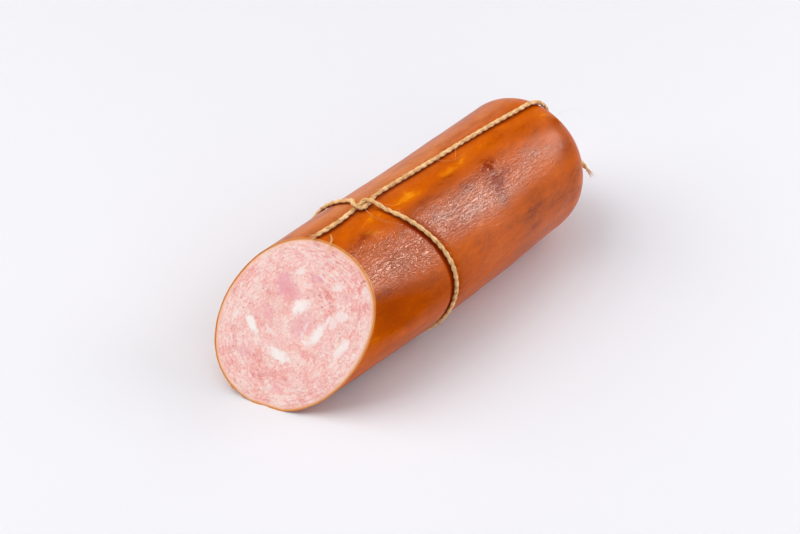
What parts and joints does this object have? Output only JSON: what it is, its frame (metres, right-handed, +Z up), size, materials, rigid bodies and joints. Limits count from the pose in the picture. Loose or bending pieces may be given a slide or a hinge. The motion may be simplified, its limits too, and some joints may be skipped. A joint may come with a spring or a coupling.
{
  "type": "cut ham sausage",
  "caption": "Cut length of tied ham sausage in a smoked casing, with a slanting cut face, one gathered end and jute twine along and round it.",
  "frame": {"origin": "bottom centre of the bounding box, on the surface that the sausage lies on", "axes": "+X along the sausage from the cut face to the tied end, +Z up"},
  "size_m": [0.2228, 0.0752, 0.0735],
  "materials": {
    "filling": "moist cut meat",
    "casing": "smoked, glossy",
    "twine": "twisted jute"
  },
  "bodies": {
    "root": {"filling": "filling", "casing": "casing", "twine": "twine"}
  },
  "joints": []
}
